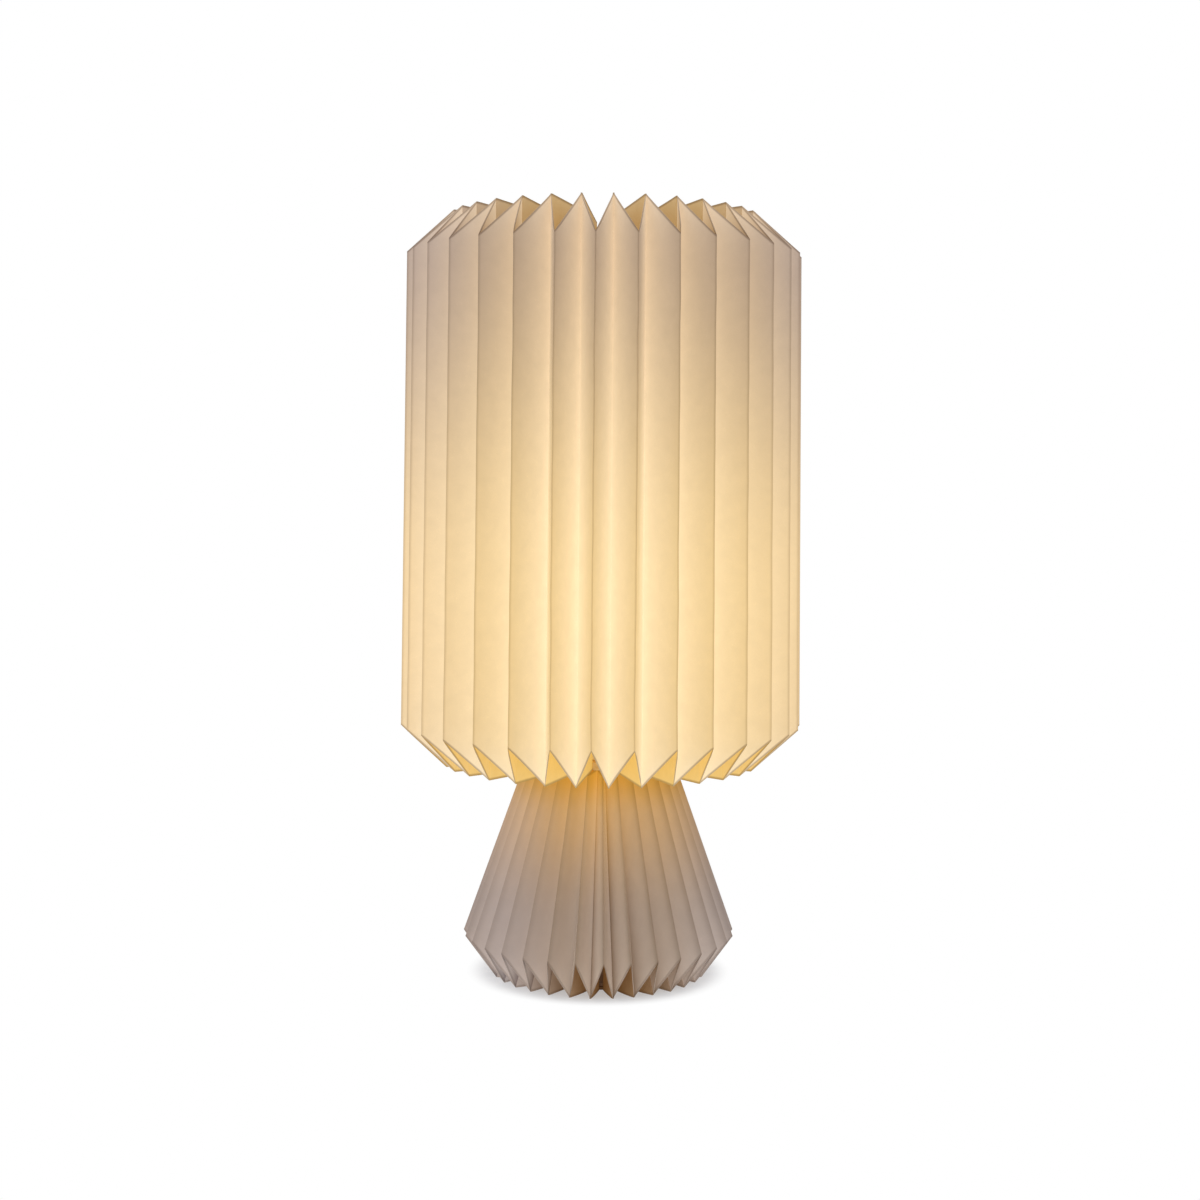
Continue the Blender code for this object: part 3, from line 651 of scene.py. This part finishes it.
@dataclass(frozen=True)
class PaperFinish:
    """Thin lantern paper: its colour, with painted shade and painted lamplight in it, and the lamplight
    that comes through it.
    """

    name: str
    # outer folds' colour, darker than the inner folds' by painted shade
    mountain: Colour
    # golden colour of the ribs and the sheet's back: painted lamplight on them
    inside: Colour
    glow_low: float
    glow_peak: float
    glow_high: float
    valley_dim: Colour
    valley_bright: Colour
    mountain_dim: Colour
    mountain_bright: Colour
    # glow of the ribs and the sheet's back: painted lamplight falling on them
    inside_dim: Colour
    inside_bright: Colour
    pale: Colour  # painted light added towards the sides
    pale_reach: Span  # how far aside that begins and ends
    back: float  # how far the sheet's own back takes the ribs' painted lamplight, away from the lamp
    inside_reach: Span  # how far aside the unlit inside begins and ends to look like the outside
    rib_shade: float  # how far ribs that look so take the outer folds' colour and its painted shade
    # inner folds' colour; the outer folds' colour is darker by painted shade
    valley: Colour = (0.50, 0.41, 0.34)
    band_shade_share: float = 0.0  # how far painted shade darkens each pleat's first panel at both folds
    band: float = 0.7  # how much lighter that painted shade leaves such a panel half way across
    band_shade_depth: float = 0.12  # how much painted shade darkens it as a whole
    # where the painted side light and the unlit inside are centred across
    pale_centre: float = 0.008
    # painted lamplight: an orange tint at the base's neck under the shade, over this span of heights
    lamplight_tint: Colour = WHITE
    lamplight_reach: Span = (0.0, 1.0)
    # tint and strength of the painted shade along the outer folds and cut edges; at cut edges partly the
    # paper's own edge
    line_shade_tint: Colour = (0.14, 0.07, 0.02)
    crease: float = 0.27
    crease_width: float = 0.065
    edge: float = 0.52
    edge_width: float = 0.0016
    edge_start: float = 0.25  # the share of that width that is darkest
    pulp_mean: float = 0.55
    pulp_tone: float = 0.2
    panel_tone: float = 0.025
    fibre_scale: float = 420.0
    bump: float = 0.5
    relief: float = 0.00006
    roughness: Span = (0.76, 0.92)
    specular: float = 0.25

    def shade(self, s: Sketch, fold: Socket, height: Socket, pulp: Socket) -> Socket:
        """Draws what darkens or warms the paper: pulp, painted shade at folds and edges, and a painted
        lamplight tint.

        Args:
            s: The material's sketch.
            fold: The share of the way from inner to outer fold.
            height: The height above the floor.
            pulp: The tone of the paper's pulp.

        Returns:
            A colour that multiplies the paper's own.
        """
        # painted shade: dark lines along the outer folds and the cut edges, where less lamplight comes
        # through; at the cut edges partly the paper's own edge
        edge_start = self.edge_start * self.edge_width
        crease = s.math(
            "MAXIMUM",
            s.ramp(fold, 1.0 - self.crease_width, 1.0, 0.0, self.crease),
            s.ramp(s.stored("inside_edge"), edge_start, self.edge_width, self.edge, 0.0),
        )
        # pulp and panel tones, and painted shade over each pleat's first panel
        grey = s.total(
            1.0,
            s.product(s.math("SUBTRACT", pulp, self.pulp_mean), self.pulp_tone),
            s.product(s.stored("tone"), self.panel_tone),
            s.product(s.stored("first_panel"), -self.band_shade_share * self.band_shade_depth),
        )
        # painted lamplight: orange tint at the base's neck
        lamplight_tint = s.tint(s.ramp(height, *self.lamplight_reach), WHITE, self.lamplight_tint)
        shade = s.tint(1.0, lamplight_tint, s.join(grey, grey, grey), "MULTIPLY")
        return s.tint(crease, shade, self.line_shade_tint, "MULTIPLY")

    def make(self, groups: Groups) -> bpy.types.Material:
        """Builds the paper's material.

        Args:
            groups: The shared shader groups.

        Returns:
            The finished material.
        """
        material, s, shader, place = new_material(self.name)
        feeds = {"Vector": place, "Scale": self.fibre_scale}
        fibre = s.add("ShaderNodeGroup", feeds, node_tree=groups.fibre).outputs
        fold, rib = s.stored("fold"), s.stored("rib")
        aside, _, height = s.split(place)
        shade = self.shade(s, fold, height, fibre["Tone"])

        rise = s.ramp(height, self.glow_low, self.glow_peak)
        level = s.product(rise, s.ramp(height, self.glow_high, self.glow_peak))
        away = s.apart(aside, self.pale_centre)
        near = s.ramp(away, *self.inside_reach, 1.0, 0.0)
        unlit = s.product(near, s.between(rib, self.back, 1.0))
        within = s.product(s.stored("within"), s.between(level, unlit, 1.0))
        # painted shade over each pleat's first panel, lighter half way across
        band = s.remainder(s.product(s.mound(fold), self.band))
        shaded = s.between(s.product(s.stored("first_panel"), self.band_shade_share), fold, band)
        shaded = s.between(rib, shaded, self.rib_shade)
        # base colour: painted shade at the outer folds, painted lamplight on the ribs and backs
        plain = s.tint(within, s.tint(shaded, self.valley, self.mountain), self.inside)
        s.feed(shader.inputs["Base Color"], s.tint(1.0, plain, shade, "MULTIPLY"))

        # glow: lamplight through the paper by height and fold, and painted lamplight on the ribs and backs
        at_valley = s.tint(level, self.valley_dim, self.valley_bright)
        at_mountain = s.tint(level, self.mountain_dim, self.mountain_bright)
        outside = s.tint(shaded, at_valley, at_mountain)
        # painted light added towards the sides
        outside = s.tint(s.ramp(away, *self.pale_reach), outside, self.pale, "ADD")
        inside = s.tint(level, self.inside_dim, self.inside_bright)
        glow = s.tint(within, outside, inside)
        s.feed(shader.inputs["Emission Color"], s.tint(1.0, glow, shade, "MULTIPLY"))
        shader.inputs["Emission Strength"].default_value = 1.0

        s.feed(shader.inputs["Roughness"], s.between(fibre["Height"], *self.roughness))
        shader.inputs["Specular IOR Level"].default_value = self.specular
        bump = {"Strength": self.bump, "Distance": self.relief, "Height": fibre["Height"]}
        s.feed(shader.inputs["Normal"], s.add("ShaderNodeBump", bump).outputs[0])
        material.cycles.emission_sampling = "NONE"
        return material


@dataclass(frozen=True)
class HardFinish:
    """A hard piece's surface: its colours, its grain and its gloss."""

    name: str
    colour: Colour
    worn: Colour
    roughness: Span
    grain: float = 2600.0
    cloud: float = 60.0
    wear: Span = (0.35, 0.65)  # tones over which the worn colour takes over
    bump: float = 0.4
    relief: float = 0.00003
    metallic: float = 0.0
    glow: Colour | None = None
    glow_dim: float = 0.9  # how bright the glow is in the worn colour
    strength: float = 0.0
    coat: float = 0.0

    def make(self, groups: Groups) -> bpy.types.Material:
        """Builds the material.

        Args:
            groups: The shared shader groups.

        Returns:
            The finished material.
        """
        material, s, shader, place = new_material(self.name)
        feeds = {"Vector": place, "Grain": self.grain, "Cloud": self.cloud}
        mottle = s.add("ShaderNodeGroup", feeds, node_tree=groups.mottle).outputs
        share = s.ramp(mottle["Tone"], *self.wear)
        s.feed(shader.inputs["Base Color"], s.tint(share, self.colour, self.worn))
        s.feed(shader.inputs["Roughness"], s.between(share, *self.roughness))
        shader.inputs["Metallic"].default_value = self.metallic
        shader.inputs["Coat Weight"].default_value = self.coat
        bump = {"Strength": self.bump, "Distance": self.relief, "Height": mottle["Height"]}
        s.feed(shader.inputs["Normal"], s.add("ShaderNodeBump", bump).outputs[0])
        if self.glow:
            dimmer = tuple(part * self.glow_dim for part in self.glow)
            s.feed(shader.inputs["Emission Color"], s.tint(share, self.glow, dimmer))
            shader.inputs["Emission Strength"].default_value = self.strength
        return material


SHADE_PAPER = PaperFinish(
    name="shade_paper",
    mountain=(0.38, 0.30, 0.235),
    inside=(0.47, 0.355, 0.19),
    glow_low=-0.20,
    glow_peak=0.20,
    glow_high=0.40,
    valley_dim=(0.40, 0.315, 0.20),
    valley_bright=(0.60, 0.515, 0.315),
    mountain_dim=(0.07, 0.03, 0.0),
    mountain_bright=(0.48, 0.325, 0.075),
    inside_dim=(0.18, 0.11, 0.04),
    inside_bright=(0.51, 0.345, 0.085),
    pale=(0.05, 0.06, 0.09),
    pale_reach=(0.05, 0.108),
    back=0.42,
    inside_reach=(0.03, 0.09),
    rib_shade=0.75,
)
BASE_PAPER = PaperFinish(
    name="base_paper",
    mountain=(0.39, 0.305, 0.235),
    inside=(0.46, 0.31, 0.18),
    glow_low=0.036,
    glow_peak=0.114,
    glow_high=0.30,
    valley_dim=(0.245, 0.205, 0.17),
    valley_bright=(0.48, 0.31, 0.13),
    mountain_dim=(0.025, 0.01, 0.0),
    mountain_bright=(0.29, 0.155, 0.02),
    inside_dim=(0.055, 0.026, 0.006),
    inside_bright=(0.40, 0.18, 0.03),
    pale=(0.055, 0.07, 0.10),
    pale_reach=(0.02, 0.062),
    back=0.6,
    inside_reach=(0.01, 0.06),
    rib_shade=0.4,
    lamplight_tint=(1.0, 0.84, 0.30),
    lamplight_reach=(0.088, 0.112),
    band_shade_share=1.0,
    crease=0.14,
    crease_width=0.20,
    edge=0.34,
)
WHITE_PLASTIC = HardFinish("white_plastic", (0.74, 0.73, 0.70), (0.66, 0.65, 0.62), (0.36, 0.48))
DARK_PLASTIC = HardFinish("dark_plastic", (0.035, 0.035, 0.037), (0.06, 0.06, 0.06), (0.40, 0.55), cloud=80)
BROWN_PLASTIC = HardFinish("brown_plastic", (0.33, 0.20, 0.105), (0.27, 0.16, 0.08), (0.42, 0.58), cloud=70)
FOOT_RUBBER = HardFinish(
    "foot_rubber", (0.30, 0.17, 0.08), (0.36, 0.21, 0.105), (0.70, 0.88), grain=3200, cloud=90
)
STEEL = HardFinish(
    "steel", (0.62, 0.62, 0.62), (0.50, 0.49, 0.48), (0.26, 0.42), grain=900, cloud=120, metallic=1.0
)
BRASS = HardFinish(
    "brass", (0.83, 0.58, 0.24), (0.72, 0.48, 0.18), (0.30, 0.44), grain=900, cloud=120, metallic=1.0
)
ALUMINIUM = HardFinish(
    "aluminium", (0.75, 0.76, 0.77), (0.62, 0.63, 0.64), (0.30, 0.46), grain=700, cloud=150, metallic=1.0
)
# the cup's glow is painted light: lamplight shining through its plastic
LAMP_PLASTIC = HardFinish(
    "lamp_plastic", (0.66, 0.62, 0.54), (0.60, 0.56, 0.48), (0.36, 0.48),
    glow=(1.0, 0.62, 0.20), strength=0.22,
)
CELL_JACKET = HardFinish(
    "cell_jacket", (0.10, 0.13, 0.16), (0.14, 0.18, 0.21), (0.28, 0.38), grain=1200, coat=0.4
)
WHITE_BOARD = HardFinish(
    "white_board", (0.78, 0.78, 0.76), (0.70, 0.70, 0.68), (0.34, 0.46), grain=2200, cloud=200
)
LED = HardFinish(
    "led", (0.85, 0.72, 0.22), (0.80, 0.64, 0.16), (0.38, 0.50), grain=3000, cloud=400,
    glow=(1.0, 0.78, 0.42), strength=3.0,
)
OPAL = HardFinish(
    "opal", (0.62, 0.57, 0.49), (0.58, 0.53, 0.45), (0.30, 0.40), grain=1800,
    glow=(1.0, 0.68, 0.22), strength=0.6,
)
RED_LEAD = HardFinish(
    "red_lead", (0.45, 0.02, 0.02), (0.36, 0.015, 0.015), (0.38, 0.50), grain=3000, cloud=200
)
BLACK_LEAD = HardFinish(
    "black_lead", (0.02, 0.02, 0.022), (0.04, 0.04, 0.042), (0.38, 0.50), grain=3000, cloud=200
)


class Wardrobe:
    """Makes each finish once and hands it out."""

    def __init__(self) -> None:
        """Starts with the shared groups and no material yet."""
        self.groups = Groups()
        self.made: dict[str, bpy.types.Material] = {}

    def take(self, finish: PaperFinish | HardFinish) -> bpy.types.Material:
        """Hands out a finish's material, and builds it on first use.

        Args:
            finish: The finish that is wanted.

        Returns:
            Its material.
        """
        if finish.name not in self.made:
            self.made[finish.name] = finish.make(self.groups)
        return self.made[finish.name]

    def dress(self, finish: HardFinish, *names: str) -> None:
        """Gives frame nodes their finish.

        Args:
            finish: The finish that they share.
            names: The nodes' names.
        """
        for name in names:
            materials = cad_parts[name].data.materials
            materials.clear()
            materials.append(self.take(finish))
            LOG.info("%s: finished as %s", name, finish.name)


@dataclass
class PaperRing:
    """One ring of accordion-folded paper, with slanted pleat ends and a rib behind every inner fold."""

    name: str
    body: Body
    strips: tuple[str, ...]
    finish: PaperFinish
    turn: float
    low: float
    high: float
    low_valley: float
    high_valley: float
    depth: float
    low_cut: float
    rib_inner: float
    rib_low: float
    veer: float
    seed: int
    high_cut: float = 0.0
    rib_fall: float = 0.0
    skirt_inner: float = 0.0  # for the lower ribs, where rib_low is above low
    pleats: int = 32
    columns: int = 5
    rows: int = 40
    paper: float = 0.0004
    bow: float = 0.0016
    wander: float = 0.0012
    uneven: float = 0.03
    ragged: float = 0.0

    def build(self, tree: FoldTree, wardrobe: Wardrobe) -> None:
        """Folds the ring and puts it in place of the frame's plain strips.

        Args:
            tree: The geometry nodes that fold paper.
            wardrobe: Where its material comes from.
        """
        names = FoldTree.SIZES + FoldTree.COUNTS
        sizes = {name: getattr(self, name.lower().replace(" ", "_")) for name in names}
        ring = tree.run(self.name, sizes | {"Material": wardrobe.take(self.finish)})
        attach(ring, self.body.value)
        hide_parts(*self.strips)
        LOG.info("%s: %d pleats, %d faces", self.name, self.pleats, len(ring.data.polygons))


SHADE_RING = PaperRing(
    name="shade_ring",
    body=Body.SHADE,
    strips=("shade_strip_1", "shade_strip_2", "shade_strip_3", "shade_strip_4"),
    finish=SHADE_PAPER,
    turn=math.radians(3.3),
    low=0.1110,
    high=0.4000,
    low_valley=0.0830,
    high_valley=0.0807,
    depth=0.0230,
    low_cut=0.0212,
    high_cut=0.0212,
    rib_inner=0.0285,
    rib_low=0.1110,
    rib_fall=0.0045,
    ragged=0.0035,
    veer=0.075,
    seed=2761,
)
BASE_RING = PaperRing(
    name="base_ring",
    body=Body.BASE,
    strips=("base_strip_1", "base_strip_2", "base_strip_3", "base_strip_4"),
    finish=BASE_PAPER,
    turn=math.radians(-3.7),
    low=0.0,
    high=0.1107,
    low_valley=0.05666,
    high_valley=0.01733,
    depth=0.0230,
    low_cut=0.0212,
    rib_inner=0.0071,
    rib_low=0.0303,
    skirt_inner=0.0404,
    rows=24,
    wander=0.0006,
    bow=0.0008,
    veer=0.14,
    seed=18064,
)


@dataclass
class Foot:
    """The weighted foot: its case, plate, rubber ring, ballast and screws, and the battery door."""

    screws: tuple[str, ...] = ("case_screw_1", "case_screw_2", "case_screw_3")
    head: float = 0.0009
    chamfer: float = 0.0003
    shank_radius: float = 0.0012
    slot_length: float = 0.0034
    slot_width: float = 0.0008
    slot_depth: float = 0.0006
    seed: int = 5

    def build(self, tree: ScrewTree, wardrobe: Wardrobe) -> None:
        """Makes the cross-head screws that hold the plate, as one piece.

        Args:
            tree: The geometry nodes that make screws.
            wardrobe: Where their material comes from.
        """
        boxes = [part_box(name) for name in self.screws]
        places = [((low[0] + high[0]) / 2, (low[1] + high[1]) / 2, low[2]) for low, high in boxes]
        low, high = boxes[0]
        sizes = {
            "Head Radius": (high[0] - low[0]) / 2,
            "Chamfer": self.chamfer,
            "Head": self.head,
            "Shank Radius": self.shank_radius,
            "Shank": high[2] - low[2] - self.head,
            "Slot Length": self.slot_length,
            "Slot Width": self.slot_width,
            "Slot Depth": self.slot_depth,
            "Seed": self.seed,
            "Material": wardrobe.take(STEEL),
        }
        screws = tree.run("case_screws", sizes, places)
        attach(screws, Body.BASE.value)
        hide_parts(*self.screws)
        LOG.info("case_screws: %d screws, %d faces", len(places), len(screws.data.polygons))

    def dress(self, wardrobe: Wardrobe) -> None:
        """Gives every piece of the foot its finish.

        Args:
            wardrobe: Where the materials come from.
        """
        wardrobe.dress(FOOT_RUBBER, "foot_ring")
        wardrobe.dress(BROWN_PLASTIC, "foot_plate", "foot_case", "battery_door")
        wardrobe.dress(STEEL, "door_pin", "ballast_ring")


@dataclass
class Power:
    """The cells in their tray, the contacts, the slide switch and the leads."""

    cells: int = 3

    def dress(self, wardrobe: Wardrobe) -> None:
        """Gives every piece of the power pack its finish.

        Args:
            wardrobe: Where the materials come from.
        """
        wardrobe.dress(DARK_PLASTIC, "cell_tray", "switch_body")
        wardrobe.dress(STEEL, "contact_strip_left", "contact_strip_right")
        wardrobe.dress(WHITE_PLASTIC, "switch_slider")
        wardrobe.dress(RED_LEAD, "lead_red")
        wardrobe.dress(BLACK_LEAD, "lead_black")
        wardrobe.dress(CELL_JACKET, *(f"battery_cell_{number + 1}" for number in range(self.cells)))


@dataclass
class Stem:
    """The stem tube with its nuts, and the plate that centres the shade."""

    nuts: tuple[str, ...] = ("stem_nut_lower", "stem_nut_upper")

    def dress(self, wardrobe: Wardrobe) -> None:
        """Gives every piece of the stem its finish."""
        wardrobe.dress(STEEL, "stem_tube", *self.nuts)
        wardrobe.dress(BRASS, "seat_plate")


@dataclass
class Lamp:
    """The light unit: cup, heat sink, board, light sources and opal globe."""

    chips: int = 6

    def dress(self, wardrobe: Wardrobe) -> None:
        """Gives every piece of the lamp its finish.

        Args:
            wardrobe: Where the materials come from.
        """
        wardrobe.dress(LAMP_PLASTIC, "lamp_cup")
        wardrobe.dress(ALUMINIUM, "heat_sink")
        wardrobe.dress(WHITE_BOARD, "led_board")
        wardrobe.dress(OPAL, "globe")
        wardrobe.dress(LED, *(f"led_chip_{number + 1}" for number in range(self.chips)))


@dataclass(frozen=True)
class SoftLamp:
    """A square soft lamp: where it hangs, how wide it is, and its power in watts."""

    name: str
    place: Point
    side: float
    power: float


@dataclass
class Studio:
    """A plain pale floor, soft lamps and the camera."""

    frame_pixels: float = 1200.0
    focal_pixels: float = 1810.2
    horizon_row: float = 477.4  # the picture row at the camera's own height
    shift: float = -0.05  # share of the frame that the lens is shifted down
    sensor: float = 36.0  # millimetres
    distance: float = 0.9595
    height: float = 0.2625
    aside: float = -0.0010
    roll: float = math.radians(0.5)
    floor_radius: float = 6.0
    floor_opening: float = 0.036  # under the foot, so that its underside has light
    floor_corners: int = 64
    shadow_reach: Span = (0.058, 0.071)
    shadow_depth: float = 0.6
    ambient: float = 0.95
    floor_colour: Colour = (0.86, 0.90, 0.96)
    floor_roughness: float = 0.9
    lamps: tuple[SoftLamp, ...] = (
        SoftLamp("key_light", (-1.3, -1.7, 1.1), side=1.4, power=3.0),
        SoftLamp("fill_light", (1.5, -1.3, 0.7), side=1.6, power=1.0),
        SoftLamp("top_light", (0.0, 0.3, 2.2), side=1.8, power=12.0),
    )
    aim: Point = (0.0, 0.0, 0.2)

    def build(self) -> None:
        """Makes the floor, the world, the lamps and the camera."""
        self.make_floor()
        self.make_world()
        for lamp in self.lamps:
            self.make_lamp(lamp)
        self.make_camera()
        bpy.context.scene.view_settings.view_transform = "Standard"

    def seen_directly(self, s: Sketch) -> Socket:
        """Tells what is seen by eye, in a reflection or through glass from what only gives light.

        Args:
            s: The sketch of the material or the world.

        Returns:
            1 where it is seen, or else 0.
        """
        path = s.add("ShaderNodeLightPath").outputs
        seen = s.math("MAXIMUM", path["Is Camera Ray"], path["Is Glossy Ray"])
        return s.math("MAXIMUM", seen, path["Is Transmission Ray"])

    def make_floor(self) -> None:
        """Makes the floor: white all over, with the shadow kept round the lantern, and clear from below."""
        mesh = bpy.data.meshes.new("floor")
        count = self.floor_corners
        turns = [math.tau * number / count for number in range(count)]
        corners = [
            (radius * math.cos(turn), radius * math.sin(turn), 0.0)
            for radius in (self.floor_opening, self.floor_radius)
            for turn in turns
        ]
        sectors = [(n, count + n, count + (n + 1) % count, (n + 1) % count) for n in range(count)]
        mesh.from_pydata(corners, [], sectors)
        floor = bpy.data.objects.new("floor", mesh)
        bpy.context.scene.collection.objects.link(floor)
        material, s, shader, place = new_material("pale_floor")
        shader.inputs["Base Color"].default_value = (*self.floor_colour, 1.0)
        shader.inputs["Roughness"].default_value = self.floor_roughness
        shader.inputs["Specular IOR Level"].default_value = 0.0
        away = s.add("ShaderNodeVectorMath", {0: place}, operation="LENGTH").outputs["Value"]
        lit = s.ramp(away, *self.shadow_reach, 1.0 - self.shadow_depth, 1.0)
        white = s.math("MULTIPLY", lit, self.seen_directly(s))
        bright = s.add("ShaderNodeEmission", {"Color": WHITE, "Strength": 1.0})
        mixed = s.add("ShaderNodeMixShader", {0: white, 1: shader.outputs[0], 2: bright.outputs[0]})
        below = s.add("ShaderNodeNewGeometry").outputs["Backfacing"]
        clear = s.add("ShaderNodeBsdfTransparent").outputs[0]
        both = s.add("ShaderNodeMixShader", {0: below, 1: mixed.outputs[0], 2: clear})
        s.feed(material.node_tree.nodes["Material Output"].inputs["Surface"], both.outputs[0])
        mesh.materials.append(material)

    def make_world(self) -> None:
        """Makes the even light all round, which is white where it is seen."""
        world = bpy.data.worlds.new("studio")
        bpy.context.scene.world = world
        world.use_nodes = True
        s = Sketch(world.node_tree)
        strength = s.between(self.seen_directly(s), self.ambient, 1.0)
        back = world.node_tree.nodes["Background"]
        s.feed(back.inputs["Color"], WHITE)
        s.feed(back.inputs["Strength"], strength)

    def make_lamp(self, lamp: SoftLamp) -> None:
        """Adds one soft lamp that points at the lantern.

        Args:
            lamp: Its name, place, size and power.
        """
        data = bpy.data.lights.new(lamp.name, "AREA")
        data.size = lamp.side
        data.energy = lamp.power
        hung = bpy.data.objects.new(lamp.name, data)
        hung.location = lamp.place
        hung.rotation_euler = (Vector(self.aim) - Vector(lamp.place)).to_track_quat("-Z", "Y").to_euler()
        bpy.context.scene.collection.objects.link(hung)

    def make_camera(self) -> None:
        """Sets the camera at the photograph's viewing angle."""
        data = bpy.data.cameras.new("camera")
        data.sensor_width = self.sensor
        data.lens = self.focal_pixels / self.frame_pixels * self.sensor
        data.shift_y = self.shift
        below = self.frame_pixels / 2 - self.horizon_row + self.shift * self.frame_pixels
        camera = bpy.data.objects.new("camera", data)
        camera.location = (self.aside, -self.distance, self.height)
        pitch = Matrix.Rotation(math.pi / 2 - math.atan2(below, self.focal_pixels), 3, "X")
        camera.rotation_euler = (pitch @ Matrix.Rotation(self.roll, 3, "Z")).to_euler()
        bpy.context.scene.collection.objects.link(camera)
        bpy.context.scene.camera = camera


def main() -> None:
    """Builds the lantern's paper, dresses the rest and sets up the studio."""
    logging.basicConfig(level=logging.INFO, format="%(name)s %(message)s")
    wardrobe = Wardrobe()
    tree = FoldTree()
    for ring in (SHADE_RING, BASE_RING):
        ring.build(tree, wardrobe)
    foot = Foot()
    foot.build(ScrewTree(), wardrobe)
    for unit in (foot, Power(), Stem(), Lamp()):
        unit.dress(wardrobe)
    Studio().build()


if __name__ == "__main__":
    main()
